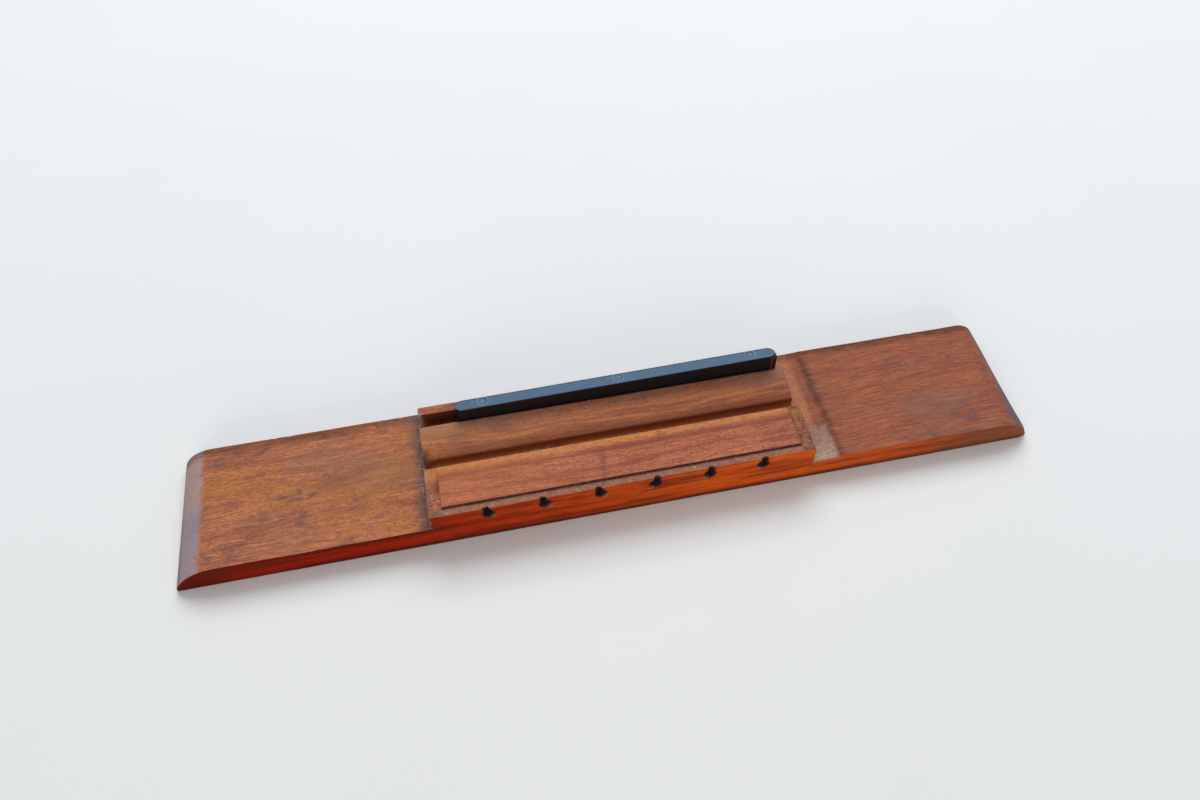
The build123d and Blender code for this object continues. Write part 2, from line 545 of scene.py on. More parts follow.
def wing_grime_and_shade(x, depth, height, wander):
    """Dirt beside the block's left wall and along the saddle-side edge, and painted shade along the
    scoop's rim.
    """
    beside_left = 0.25 * ramp(x + wander, BLOCK_LEFT - 1.3, BLOCK_LEFT - 0.2) * (x < BLOCK_LEFT)
    patchy = 0.55 + 0.5 * grain(x, depth, 0, 3.2, 67.0)
    # Painted shade on the scoop's steep rim, which stands in shadow.
    scoop_rim = band(x + 0.3 * wander - BLOCK_RIGHT, SCOOP_LENGTH - 0.3, 1.7)
    far_edge = ramp(depth + wander, WIDTH - 3.0, WIDTH - 0.6) * (depth < WIDTH - 0.1)
    return max(beside_left, 0.8 * on_wing_top(height) * patchy * scoop_rim, 0.45 * far_edge)


def rebate_grime_and_shade(x, depth):
    """A painted shadow line along the plate's near edge, and dirt beside its ends, thicker at the
    left.
    """
    if depth >= TIE_DEPTH:
        return 0.0
    # Painted shadow: a dark line in the step before the plate's near edge.
    if plate_low.x < x < plate_high.x:
        step = 0.7 * band(depth, PLATE_DEPTH - 0.1, 0.25)
    else:
        step = 0.0
    beside_plate = min(x - plate_low.x, plate_high.x - x) < 0
    sides = beside_plate * ((0.34 if x > 0 else 0.1) + 0.5 * grain(x, depth, 0, 1.1, 87.0))
    corner = 0.6 * band(x, plate_low.x - 0.6, 1.6) * band(depth, 6.5, 3.0)
    return max(step, sides, corner)


def trough_shade(x, depth, height):
    """Painted shade in the trough's left end, and on the ridge's foot and left end."""
    ridge_end = ramp(x, BLOCK_LEFT + 2.4, BLOCK_LEFT) * band(depth, RIDGE_START + 1.0, 3.0)
    ridge_foot = (RIDGE_START - 0.1 < depth < RIDGE_START + 0.1) * ramp(height, 7.8, 8.8)
    trough_end = (TIE_DEPTH < depth < RIDGE_START) * ramp(x, BLOCK_LEFT + 3.0, BLOCK_LEFT)
    return max(0.8 * ridge_end, 0.35 * ridge_foot, 0.7 * trough_end)


def slot_shade(x, depth, height):
    """Painted shade in the slot, and a dark line of painted shade on the ridge's edge along the
    saddle.
    """
    in_slot = SLOT_FRONT - 0.02 < depth < SLOT_REAR + 0.03
    slot = in_slot * (0.5 + 0.4 * ramp(height, 7.0, 10.0))
    along_saddle = ramp(x, saddle_low.x - 0.4, saddle_low.x + 0.2) * (x < saddle_high.x)
    ridge_edge = ramp(depth, SLOT_FRONT - 0.5, SLOT_FRONT - 0.15) * (depth < SLOT_FRONT + 0.005)
    return max(slot, 0.85 * along_saddle * ridge_edge)


def ledge_grime_and_shade(x, depth, wander):
    """A dark patch of painted shade by the saddle's right end, and a thin film past its left end."""
    # Painted shade on the ledge behind the saddle's right end.
    right = ramp(x + wander, saddle_high.x - 2.6, saddle_high.x + 0.2)
    right *= ramp(depth + 0.6 * wander, SLOT_REAR + 2.8, SLOT_REAR + 1.0)
    left = ramp(x, saddle_low.x + 1, saddle_low.x - 1)
    return max(0.85 * right, 0.15 * left) * (depth > SLOT_REAR - 0.1)


def grime_and_shade_mask(x, depth, height):
    """Dark dirt, and painted shade in recesses, packed in corners and holes."""
    if depth < FACE_SKIN:
        return max(near_foot_shade(x, height), hole_dirt_and_shade(x, depth, height))
    wander = 0.8 * grain(x, depth, 0, 2.5, 61.0)
    if on_block(x) <= 0.5:
        return wing_grime_and_shade(x, depth, height, wander)
    # Painted shade: the bores' insides are painted fully dark.
    in_bore = depth < TIE_DEPTH and HOLE_HEIGHT - 2 < height < BLOCK_HEIGHT - 0.45
    if in_bore:
        return 1.0
    return max(
        rebate_grime_and_shade(x, depth),
        trough_shade(x, depth, height),
        slot_shade(x, depth, height),
        ledge_grime_and_shade(x, depth, wander),
    )


def ridge_mask(x, depth, height):
    """The ridge's slope, without the trough's floor."""
    along = RIDGE_START - 0.05 < depth < SLOT_FRONT + 0.05
    return on_block(x) * along * (height > TROUGH_FLOOR + 0.8)


def tie_mask(x, depth, height):
    """The rebate's sides have the plate's own reddish tone."""
    return on_block(x) * (0.2 < depth < TIE_DEPTH - 0.2) * (height > BLOCK_HEIGHT - 0.6)


def foot_mask(x, depth, height):
    """Grey dirt packed along the block's left foot, and thinner beside the right one."""
    if depth < FACE_SKIN or height > WING + 1.4:
        return 0.0
    wander = 0.7 * grain(x, depth, 0, 2.2, 77.0) + 0.35 * grain(x, depth, 0, 0.7, 79.0)
    left = ramp(x + 1.8 * wander, BLOCK_LEFT - 3.2, BLOCK_LEFT - 0.8) * (x < BLOCK_LEFT + 0.1)
    right = ramp(x + wander, BLOCK_RIGHT + 1.6, BLOCK_RIGHT + 0.4) * (x > BLOCK_RIGHT)
    return max(0.95 * left, 0.2 * right) * on_wing_top(height)


def wear_and_highlight_mask(x, depth, height):
    """Pale places: the block's left edge, rubbed and with a painted highlight, a chip, smears by the
    holes that are painted highlights, and the rubbed scoop.
    """
    # The block's left top edge: rubbed pale, with a painted highlight.
    left_edge = band(x, BLOCK_LEFT + 0.05, 0.4) * ramp(height, WING - 0.4, WING + 0.6)
    left_edge *= 0.45 + 1.1 * grain(0, depth, height, 1.6, 91.0)
    chip = band(x, BLOCK_LEFT + 0.2, 0.9) * band(depth, SLOT_REAR + 0.3, 1.0)
    nearest = nearest_string(x)
    side = 1.0 if nearest < 0 else -0.8
    across, up = x - nearest - side, height - HOLE_HEIGHT + 1.1
    # Painted highlight: a pale smear beside each hole's mouth.
    smear = 0.3 * ramp(math.hypot(across, up), 0.9, 0.2) * (depth < 0.3)
    scoop = max(0.35 * scoop_patch(x, depth), 0.08 * scoop_strip(x, depth))
    return max(0.6 * left_edge, chip, smear, scoop * (height > WING - 1.2))


# ======== tie block plate ========

def plate_top(x, depth):
    """The plate's top, with worn edges and a few lumps."""
    side = min(x - plate_low.x, plate_high.x - x)
    worn = edge_drop(side, PLATE_SIDE_ROUND) + edge_drop(depth - PLATE_DEPTH, PLATE_NEAR_ROUND)
    lumps = 0.015 * grain(x / 5, depth, 0, 0.6, 71.0) + 0.02 * grain(x / 3, depth, 0, 4.0, 73.0)
    arc = tie_arc(depth)
    return max(BLOCK_HEIGHT + 0.02, arc - worn + lumps * ramp(arc, BLOCK_HEIGHT, PLATE_TOP))


def plate_ring(x):
    """The plate's closed outline at x; its base is sunk a little into the tie block."""
    last = plate_high.y - NEAR
    depths = crowded(spaced(PLATE_DEPTH, last, 0.4), [PLATE_DEPTH, last])
    under = spaced(PLATE_DEPTH, last, 2.0) + [last]
    base = [(depth, BLOCK_HEIGHT - 0.04) for depth in reversed(under)]
    top = [(depth, plate_top(x, depth)) for depth in depths]
    return [Vector((x, NEAR + depth, height)) for depth, height in base + top]


def plate_grime_and_shade(x, depth, height):
    """Painted shade in the step round the plate, and a smear of dirt across it."""
    # Painted shade along the plate's near edge and its two ends.
    front = 0.9 * ramp(depth - PLATE_DEPTH, 0.22, 0.02)
    left = 0.12 * ramp(x - plate_low.x, 0.22, 0.02)
    right = 0.7 * ramp(plate_high.x - x, 0.22, 0.02)
    smear = 0.4 * band(x, -4.0 + 0.1 * (depth - 5), 0.9) * ramp(depth, 9.5, 8.0)
    return max(front, left, right, smear)


def plate_wear(x, depth, height):
    """The rear edge, where the strings rub, has gone orange."""
    return ramp(depth + 0.7 * grain(x / 4, 0, 0, 2.0, 81.0), TIE_DEPTH - 3.4, TIE_DEPTH - 1.0)


# ======== saddle ========

def saddle_crown(x):
    """Height of the bar's top, before its edges are rounded and its marks are sunk."""
    return saddle_high.z - MARK_RIM - SADDLE_RISE * (saddle_high.x - x) / SADDLE_LENGTH


def saddle_top(x, across):
    """Top of the bar at a place across it, with its round moulding marks sunk in."""
    height = saddle_crown(x)
    for middle in MARK_PLACES:
        away = math.hypot(x - middle, across - MARK_SHIFT)
        height -= MARK_DEPTH * ramp(away, MARK_RADIUS + 0.05, MARK_RADIUS - 0.4)
        height += MARK_RIM * band(away, MARK_RADIUS + 0.1, 0.2)
    return height


def saddle_half(x):
    """Half the bar's thickness, which rounds off at both ends."""
    radius = SADDLE_THICKNESS / 2
    past = abs(x - SADDLE_MIDDLE) - (SADDLE_LENGTH / 2 - radius)
    if past <= 0:
        return radius
    return max(0.06, math.sqrt(max(0.0, radius**2 - past**2)))


def saddle_places(half, front_round, rear_round):
    """Places across the bar, closer together round its two long edges."""
    flat = 2 * half - front_round - rear_round
    steps = 16
    front = [-half + front_round * share**2 for share in (0, 0.35, 0.7)]
    middle = [-half + front_round + flat * step / steps for step in range(steps + 1)]
    rear = [half - rear_round * share**2 for share in (0, 0.25, 0.45, 0.65, 0.85)]
    return sorted(set(front + middle + rear))


def saddle_ring(x):
    """The bar's closed outline at x."""
    half = saddle_half(x)
    front_round = min(SADDLE_FRONT_ROUND, half * 0.8)
    rear_round = min(SADDLE_REAR_ROUND, half * 0.9)
    top = []
    for place in saddle_places(half, front_round, rear_round):
        drop = edge_drop(place + half, front_round) + edge_drop(half - place, rear_round)
        top.append((place, min(saddle_top(x, place), saddle_crown(x) - drop)))
    base = saddle_low.z
    foot = base + FOOT_ROUND
    inset = min(FOOT_ROUND, half / 2)
    shares = (0, 0.25, 0.5, 0.75, 0.95)
    front = [(-half, foot + (top[0][1] - foot) * share) for share in shares]
    rear = [(half, foot + (top[-1][1] - foot) * share) for share in reversed(shares)]
    under = [(half - inset, base), (inset - half, base)]
    return [Vector((x, SADDLE_LINE + place, height)) for place, height in front + top + rear + under]


def disc_mask(x, depth, height):
    """The moulding marks are rubbed paler, most of all round their rims."""
    across = depth + NEAR - SADDLE_LINE
    if height < saddle_top(x, across) - 0.2:
        return 0.0
    nearest = min(MARK_PLACES, key=lambda middle: abs(x - middle))
    away = math.hypot(x - nearest, across - MARK_SHIFT)
    return max(band(away, MARK_RADIUS, 0.45), 0.5 * ramp(away, MARK_RADIUS, MARK_RADIUS - 0.3))


def saddle_stations():
    """Where the rings stand along the bar, closer together at its round ends and its marks."""
    places = spaced(saddle_low.x, saddle_high.x, 1.6) + [saddle_high.x]
    steps = 14
    for step in range(1, steps):
        inset = SADDLE_THICKNESS / 2 * (1 - math.cos(math.pi / 2 * step / steps))
        places += [saddle_low.x + inset, saddle_high.x - inset]
    for middle in MARK_PLACES:
        places = [place for place in places if abs(place - middle) > 1.45]
        places += spaced(middle - 1.4, middle + 1.45, 0.14)
    return sorted(set(places))


# ======== specks of old glue ========

def fleck(shape, chance, place, size):
    """One irregular crumb, flattened on to the surface."""
    made = bmesh.ops.create_icosphere(shape, subdivisions=2, radius=1.0)
    turn = Quaternion((0, 0, 1), chance.uniform(0, math.pi))
    long, wide, tall = size * chance.uniform(0.7, 1.6), size, size * chance.uniform(0.3, 0.7)
    for vertex in made["verts"]:
        lump = 1 + 0.5 * noise.noise(vertex.co * 1.7 + place)
        local = Vector((vertex.co.x * long, vertex.co.y * wide, vertex.co.z * tall)) * lump
        vertex.co = (place + turn @ local) * MM


def fleck_places(chance):
    """Crumbs gather in the rebate, along the trough, before the saddle and by the block's ends."""
    areas = [
        (46, (plate_low.x, plate_high.x), (0.3, PLATE_DEPTH - 0.2)),
        (18, (BLOCK_LEFT, BLOCK_RIGHT), (TIE_DEPTH + 0.3, RIDGE_START - 0.2)),
        (16, (BLOCK_LEFT + 6, BLOCK_RIGHT - 4), (SLOT_FRONT - 2.2, SLOT_FRONT - 0.2)),
        (34, (BLOCK_LEFT - 0.1, BLOCK_LEFT - 1.2), (1.0, WIDTH - 3)),
        (5, (BLOCK_LEFT + 0.2, plate_low.x - 0.3), (0.5, TIE_DEPTH - 1)),
        (14, (BLOCK_RIGHT + 0.3, BLOCK_RIGHT + 2.4), (1.0, WIDTH - 4)),
        (4, (BLOCK_RIGHT - 0.2, plate_high.x + 0.3), (0.5, TIE_DEPTH - 1)),
    ]
    places = []
    for count, across, deep in areas:
        for _ in range(count):
            places.append((chance.uniform(*across), chance.uniform(*deep)))
    return places


def glue_flecks():
    chance = random.Random(12)
    shape = bmesh.new()
    for x, depth in fleck_places(chance):
        place = Vector((x, NEAR + depth, body_top(x, depth)))
        fleck(shape, chance, place, chance.uniform(0.05, 0.15))
    return to_object(shape, "glue_flecks")


# ======== materials ========

def srgb(red, green, blue):
    """A screen colour, 0 to 255, as the linear colour that shaders take."""
    linear = []
    for level in (red, green, blue):
        share = level / 255
        linear.append(((share + 0.055) / 1.055) ** 2.4 if level > 10 else share / 12.92)
    return (*linear, 1.0)


class Recipe:
    """A material's node tree, with short calls for the nodes that the materials use."""

    def __init__(self, name):
        self.material = bpy.data.materials.new(name)
        self.material.use_nodes = True
        self.tree = self.material.node_tree
        self.shader = self.tree.nodes["Principled BSDF"]
        coordinates = self.add("ShaderNodeTexCoord").outputs["Object"]
        scaled = self.add("ShaderNodeVectorMath", operation="SCALE")
        self.feed(scaled.inputs[0], coordinates)
        scaled.inputs["Scale"].default_value = 1 / MM
        self.place = scaled.outputs[0]
        split = self.add("ShaderNodeSeparateXYZ")
        self.feed(split.inputs[0], self.place)
        self.x, self.y, self.z = split.outputs
        normals = self.add("ShaderNodeNewGeometry").outputs["Normal"]
        facing = self.add("ShaderNodeSeparateXYZ")
        self.feed(facing.inputs[0], normals)
        _, self.normal_y, self.normal_z = facing.outputs

    def add(self, kind, **settings):
        node = self.tree.nodes.new(kind)
        for name, value in settings.items():
            setattr(node, name, value)
        return node

    def feed(self, socket, value):
        if isinstance(value, bpy.types.NodeSocket):
            self.tree.links.new(value, socket)
        else:
            socket.default_value = value

    def set(self, name, value):
        self.feed(self.shader.inputs[name], value)

    def combine(self, operation, first, second):
        node = self.add("ShaderNodeMath", operation=operation)
        self.feed(node.inputs[0], first)
        self.feed(node.inputs[1], second)
        return node.outputs[0]

    def times(self, first, second):
        return self.combine("MULTIPLY", first, second)

    def plus(self, first, second):
        return self.combine("ADD", first, second)

    def between(self, value, low, high, to_low=0.0, to_high=1.0):
        """value from low to high, as a smooth share from to_low to to_high."""
        node = self.add("ShaderNodeMapRange", interpolation_type="SMOOTHSTEP")
        for name, given in zip(("Value", "From Min", "From Max", "To Min", "To Max"),
                               (value, low, high, to_low, to_high)):
            self.feed(node.inputs[name], given)
        return node.outputs["Result"]

    def blend(self, share, first, second):
        """The first colour where the share is 0, the second where it is 1."""
        node = self.add("ShaderNodeMix", data_type="RGBA", blend_type="MIX")
        node.clamp_factor = True
        self.feed(node.inputs[0], share)
        self.feed(node.inputs[6], first)
        self.feed(node.inputs[7], second)
        return node.outputs[2]

    def noise(self, stretch, detail=2.0, rough=0.5, seed=0.0, place=None):
        """Noise whose lumps are 1/stretch millimetres along X, Y and Z."""
        mapping = self.add("ShaderNodeMapping")
        self.feed(mapping.inputs["Vector"], place or self.place)
        self.feed(mapping.inputs["Scale"], stretch)
        self.feed(mapping.inputs["Location"], (seed, -seed, seed * 0.5))
        node = self.add("ShaderNodeTexNoise")
        self.feed(node.inputs["Vector"], mapping.outputs[0])
        self.feed(node.inputs["Scale"], 1.0)
        self.feed(node.inputs["Detail"], detail)
        self.feed(node.inputs["Roughness"], rough)
        return node.outputs["Fac"]

    def painted(self, name):
        return self.add("ShaderNodeAttribute", attribute_name=name).outputs["Fac"]

    def bump(self, height, depth):
        node = self.add("ShaderNodeBump")
        self.feed(node.inputs["Height"], height)
        self.feed(node.inputs["Distance"], depth * MM)
        self.feed(node.inputs["Strength"], 1.0)
        self.set("Normal", node.outputs[0])


# ---- colours, as they look on the screen under this light ----
WOOD_SPECULAR = 0.06
WARM_SHINE = srgb(255, 190, 130)
LIGHT_TAN = srgb(206, 132, 90)
MID_TAN = srgb(168, 98, 68)
DEEP_TAN = srgb(118, 66, 42)
RIGHT_RED = srgb(138, 72, 60)
PORE = srgb(66, 36, 28)
DIRT = srgb(98, 74, 78)
GOLDEN = srgb(190, 122, 62)
RIDGE_ORANGE = srgb(192, 124, 76)
RIDGE_BROWN = srgb(118, 72, 58)
RIDGE_FOOT_SHADE = srgb(104, 62, 46)
MOTTLE = srgb(122, 78, 66)
FINE_DARK = srgb(112, 62, 52)
FACE_LEFT = srgb(148, 27, 2)
FACE_RIGHT = srgb(204, 86, 24)
FACE_DARK = srgb(76, 16, 5)
FACE_WING = srgb(132, 60, 34)
FACE_DULL = srgb(104, 68, 48)
INNER = srgb(182, 82, 22)
HAZE_AND_SHEEN = srgb(164, 138, 132)
HAZE_BLUE_SHEEN = srgb(138, 130, 142)
HAZE_DARK = srgb(92, 74, 76)
HAZE_RIGHT = srgb(80, 68, 82)
BARE = srgb(162, 112, 90)
BARE_DARK = srgb(114, 78, 66)
BARE_CREAM = srgb(198, 174, 136)
GRIME_AND_SHADE = srgb(48, 36, 38)
FOOT_DIRT = srgb(100, 86, 90)
CLOUD = srgb(126, 98, 86)
DUST_AND_SHEEN = srgb(158, 116, 92)
RUBBED_AND_HIGHLIGHT = srgb(160, 148, 138)

PLATE_LIGHT = srgb(202, 124, 90)
PLATE_MID = srgb(164, 90, 66)
PLATE_PURPLE = srgb(122, 66, 58)
PLATE_ORANGE = srgb(202, 130, 72)
PLATE_GOLD = srgb(192, 118, 72)
PLATE_PORE = srgb(96, 50, 40)

PLASTIC = srgb(20, 17, 19)
PLASTIC_DUST_AND_SHEEN = srgb(66, 92, 116)
PLASTIC_RUBBED = srgb(112, 136, 150)
COOL_SHINE = srgb(200, 226, 255)

GLUE_DARK = srgb(120, 108, 98)
GLUE_PALE = srgb(196, 186, 176)
FLOOR_WARM = srgb(224, 222, 219)
FLOOR_PALE = srgb(228, 226, 223)


# In the functions below, r is the Recipe that is filled in, and wood holds a wood's noises.

def wandering(recipe):
    """Places shifted sideways a little, so that the grain isn't ruled straight."""
    drift = recipe.noise((0.035, 0.1, 0.1), detail=1.0, seed=3.0)
    shift = recipe.add("ShaderNodeCombineXYZ")
    recipe.feed(shift.inputs[1], recipe.times(recipe.plus(drift, -0.5), 5.0))
    moved = recipe.add("ShaderNodeVectorMath", operation="ADD")
    recipe.feed(moved.inputs[0], recipe.place)
    recipe.feed(moved.inputs[1], shift.outputs[0])
    return moved.outputs[0]


def grain_noises(r, place, shift):
    """The noises that both woods share, from long streaks to fine specks."""
    return SimpleNamespace(
        streaks=r.noise((0.14, 3.4, 3.4), detail=3.0, rough=0.6, seed=13.0 + shift, place=place),
        pores=r.noise((0.45, 7.5, 7.5), detail=2.0, rough=0.6, seed=17.0 + shift, place=place),
        speckle=r.noise((2.2, 2.6, 2.6), detail=3.0, rough=0.6, seed=31.0 + shift),
        mottle=r.noise((0.8, 1.9, 1.9), detail=4.0, rough=0.7, seed=41.0 + shift),
        fine=r.noise((1.3, 3.4, 3.4), detail=3.0, rough=0.75, seed=43.0 + shift),
    )


def bridge_noises(r):
    place = wandering(r)
    wood = grain_noises(r, place, 0.0)
    wood.figure = r.noise((0.03, 0.5, 0.5), detail=3.0, seed=7.0, place=place)
    wood.patches = r.noise((0.1, 0.16, 0.16), detail=3.0, seed=19.0)
    wood.blots = r.noise((0.28, 0.5, 0.5), detail=4.0, rough=0.62, seed=29.0)
    wood.golden = r.noise((0.07, 0.14, 0.14), detail=2.0, seed=37.0)
    wood.cloud = r.noise((0.05, 0.12, 0.12), detail=3.0, seed=47.0)
    wood.bands = r.noise((0.07, 1.5, 1.5), detail=4.0, rough=0.62, seed=53.0, place=place)
    wood.fibres = r.noise((0.16, 2.2, 2.2), detail=4.0, rough=0.65, seed=57.0, place=place)
    return wood


def top_grain(r, wood):
    """Streaked tan wood, golden to the left and redder to the right, with dark pores."""
    colour = r.blend(r.between(wood.streaks, 0.3, 0.7), MID_TAN, LIGHT_TAN)
    colour = r.blend(r.between(wood.figure, 0.56, 0.34, 0.0, 0.4), colour, DEEP_TAN)
    colour = r.blend(r.between(r.x, -35.0, 45.0, 0.0, 0.6), colour, RIGHT_RED)
    colour = r.blend(r.between(wood.pores, 0.44, 0.3, 0.0, 0.55), colour, PORE)
    on_left = r.between(r.x, 10.0, -30.0, 0.15, 1.0)
    colour = r.blend(r.times(r.between(wood.golden, 0.46, 0.68, 0.0, 0.62), on_left), colour, GOLDEN)
    coarse = r.between(r.x, 10.0, 45.0, 1.0, 0.8)
    colour = r.blend(r.times(r.between(wood.fine, 0.56, 0.38, 0.0, 0.45), coarse), colour, FINE_DARK)
    colour = r.blend(r.times(r.between(wood.mottle, 0.52, 0.36, 0.0, 0.5), coarse), colour, MOTTLE)
    on_right = r.between(r.x, 10.0, 45.0)
    dark_fibres = r.times(on_right, r.between(wood.fibres, 0.5, 0.34, 0.0, 0.6))
    colour = r.blend(dark_fibres, colour, FINE_DARK)
    light_fibres = r.times(on_right, r.between(wood.fibres, 0.54, 0.7, 0.0, 0.4))
    return r.blend(light_fibres, colour, RIDGE_ORANGE)


def with_stains(r, wood, colour):
    """Bluish blots, and larger clouds of greyed finish."""
    blots = r.between(wood.blots, 0.46, 0.74, 0.0, 0.9)
    blots = r.times(blots, r.between(wood.patches, 0.4, 0.62, 0.15, 1.0))
    blots = r.times(blots, r.between(r.x, -10.0, 40.0, 1.0, 0.75))
    colour = r.blend(blots, colour, DIRT)
    clouds = r.between(wood.cloud, 0.48, 0.74, 0.0, 0.55)
    clouds = r.times(clouds, r.between(wood.mottle, 0.36, 0.6, 0.35, 1.0))
    return r.blend(clouds, colour, CLOUD)


def with_ridge(r, wood, colour):
    """Orange and brown bands along the ridge, darker at its foot with painted shade, and dusty with
    a painted sky sheen toward the slot.
    """
    ridge = r.painted("ridge")
    broken = r.times(ridge, r.between(wood.fine, 0.34, 0.58, 0.35, 1.0))
    bright = r.times(r.between(r.y, 1.2, 2.2), r.between(r.y, 5.6, 3.4))
    banded = r.blend(r.between(wood.bands, 0.36, 0.62), RIDGE_BROWN, RIDGE_ORANGE)
    colour = r.blend(r.times(broken, r.times(bright, 0.62)), colour, banded)
    # Painted shade on the ridge's steep foot.
    colour = r.blend(r.times(ridge, r.between(r.y, 2.4, 0.6, 0.0, 0.45)), colour, RIDGE_FOOT_SHADE)
    # Dust and a painted sky sheen on the flatter top by the slot.
    dust_and_sheen = r.times(r.between(r.y, 4.0, 7.6), r.between(wood.bands, 0.62, 0.4, 0.15, 0.8))
    return r.blend(r.times(broken, dust_and_sheen), colour, DUST_AND_SHEEN)


def with_rebate(r, wood, colour):
    """The rebate has the plate's own tones, which turn orange toward the trough."""
    tone = r.blend(r.between(wood.fine, 0.36, 0.62), PLATE_PURPLE, PLATE_LIGHT)
    tone = r.blend(r.between(r.y, -7.0, -4.5, 0.0, 0.7), tone, PLATE_ORANGE)
    share = r.times(r.painted("tie"), r.between(r.x, 10.0, -10.0, 0.6, 0.8))
    return r.blend(share, colour, tone)


def with_scoop_strip(r, wood, colour):
    """A lighter strip in the scoop, along the block's right wall."""
    past = r.plus(r.x, -BLOCK_RIGHT)
    strip = r.times(r.between(past, -0.15, 0.45), r.between(past, 4.65, 2.85))
    strip = r.times(strip, r.between(r.normal_z, 0.6, 0.9))
    return r.blend(r.times(strip, r.between(wood.fine, 0.34, 0.58, 0.1, 0.6)), colour, LIGHT_TAN)


def face_share(r):
    """1 on what faces the string-hole side: that face, the trough's far wall, the slot's. These get
    the face's red stain together with painted shade.
    """
    off_ridge = r.between(r.painted("ridge"), 0.0, 1.0, 1.0, 0.15)
    return r.times(r.between(r.normal_y, -0.15, -0.5), off_ridge)


def face_tones(r, wood):
    """Red stain at the left, orange at the right and dull at the right end, with dark streaks, and
    painted shade at the foot, along the left wing's top edge and at the left end.
    """
    tone = r.blend(r.between(r.x, -60.0, 45.0), FACE_LEFT, FACE_RIGHT)
    barred = r.times(r.between(wood.streaks, 0.6, 0.36), r.between(r.x, -20.0, 30.0, 0.42, 0.35))
    tone = r.blend(barred, tone, FACE_DARK)
    figured = r.between(wood.figure, 0.54, 0.38, 0.0, 0.62)
    tone = r.blend(r.times(figured, r.between(r.x, 0.0, 45.0, 1.0, 0.8)), tone, FACE_DARK)
    # Painted shade along the face's foot.
    foot = r.times(r.between(r.z, 2.6, 0.3, 0.0, 0.9), r.between(wood.patches, 0.3, 0.6, 0.6, 1.0))
    tone = r.blend(foot, tone, FACE_DARK)
    tone = r.blend(r.between(r.x, 38.0, 60.0, 0.0, 0.35), tone, FACE_WING)
    dull = r.between(r.x, 58.0, 84.0, 0.0, 0.85)
    dull = r.times(dull, r.between(wood.streaks, 0.66, 0.4, 0.5, 1.0))
    tone = r.blend(dull, tone, FACE_DULL)
    # Painted shade along the top edge of the left wing's face.
    left_edge = r.times(r.between(r.x, -36.0, -44.0), r.between(r.z, 3.8, 5.8, 0.0, 0.8))
    tone = r.blend(left_edge, tone, FACE_DARK)
    # Painted shade toward the face's left end.
    tone = r.blend(r.between(r.x, -76.0, -90.0, 0.0, 0.75), tone, FACE_DARK)
    return r.blend(r.between(r.y, -6.0, -5.0), tone, INNER)


def haze_and_sheen_tones(r, wood):
    """Greyed finish with a painted sky sheen, bluer near the string-hole face and darker low down
    and at the right.
    """
    bluer = r.times(r.between(r.y, 4.0, -4.0), r.between(wood.cloud, 0.4, 0.6, 0.5, 1.0))
    tone = r.blend(bluer, HAZE_AND_SHEEN, HAZE_BLUE_SHEEN)
    tone = r.blend(r.between(r.x, 0.0, 60.0, 0.0, 0.85), tone, HAZE_RIGHT)
    return r.blend(r.between(r.z, 3.4, 1.0, 0.0, 0.75), tone, HAZE_DARK)


def bare_tones(r, wood):
    """Blotched bare wood, with a cream tinge at the scoop's near end."""
    blotches = r.plus(r.times(wood.speckle, 0.45), r.times(wood.mottle, 0.55))
    tone = r.blend(r.between(blotches, 0.32, 0.62), BARE_DARK, BARE)
    in_scoop = r.between(r.x, BLOCK_RIGHT - 0.25, BLOCK_RIGHT + 0.25)
    cream = r.times(r.between(r.y, -8.0, -14.0), in_scoop)
    return r.blend(r.times(cream, r.between(blotches, 0.36, 0.62, 0.1, 0.7)), tone, BARE_CREAM)


def with_wear(r, wood, colour):
    """What handling and dirt have left on the stain, with painted shade, sky sheen and highlights,
    where the painted masks say.
    """
    # Greyed finish and painted sky sheen on the wings' rounded ends.
    haze_and_sheen = r.times(r.painted("haze_and_sheen"), r.between(wood.mottle, 0.3, 0.55, 0.6, 1.0))
    colour = r.blend(haze_and_sheen, colour, haze_and_sheen_tones(r, wood))
    colour = r.blend(r.times(r.painted("bare"), 0.92), colour, bare_tones(r, wood))
    # Dark dirt and painted shade from the mask.
    grime_and_shade = r.times(r.painted("grime_and_shade"), r.between(wood.speckle, 0.3, 0.6, 0.7, 1.15))
    colour = r.blend(grime_and_shade, colour, GRIME_AND_SHADE)
    foot = r.times(r.painted("foot"), r.between(wood.mottle, 0.38, 0.58, 0.1, 1.0))
    colour = r.blend(foot, colour, FOOT_DIRT)
    rubbed = r.times(r.painted("wear"), r.between(wood.speckle, 0.34, 0.58, 0.25, 1.0))
    return r.blend(rubbed, colour, RUBBED_AND_HIGHLIGHT)


def warm_shine(r):
    r.set("Specular IOR Level", WOOD_SPECULAR)
    r.set("Specular Tint", WARM_SHINE)


def stained_wood():
    r = Recipe("stained_wood")
    wood = bridge_noises(r)
    colour = with_stains(r, wood, top_grain(r, wood))
    colour = with_ridge(r, wood, colour)
    colour = with_rebate(r, wood, colour)
    face = face_share(r)
    colour = r.blend(face, colour, face_tones(r, wood))
    colour = with_scoop_strip(r, wood, colour)
    r.set("Base Color", with_wear(r, wood, colour))
    warm_shine(r)
    bare = r.painted("bare")
    matt = r.times(r.plus(bare, r.painted("grime_and_shade")), 0.3)
    rough = r.plus(r.between(wood.streaks, 0.3, 0.7, 0.56, 0.44), matt)
    r.set("Roughness", r.plus(rough, r.times(face, 0.05)))
    torn = r.times(bare, wood.speckle)
    r.bump(r.plus(wood.pores, r.plus(r.times(wood.streaks, 0.7), torn)), 0.07)
    return r.material


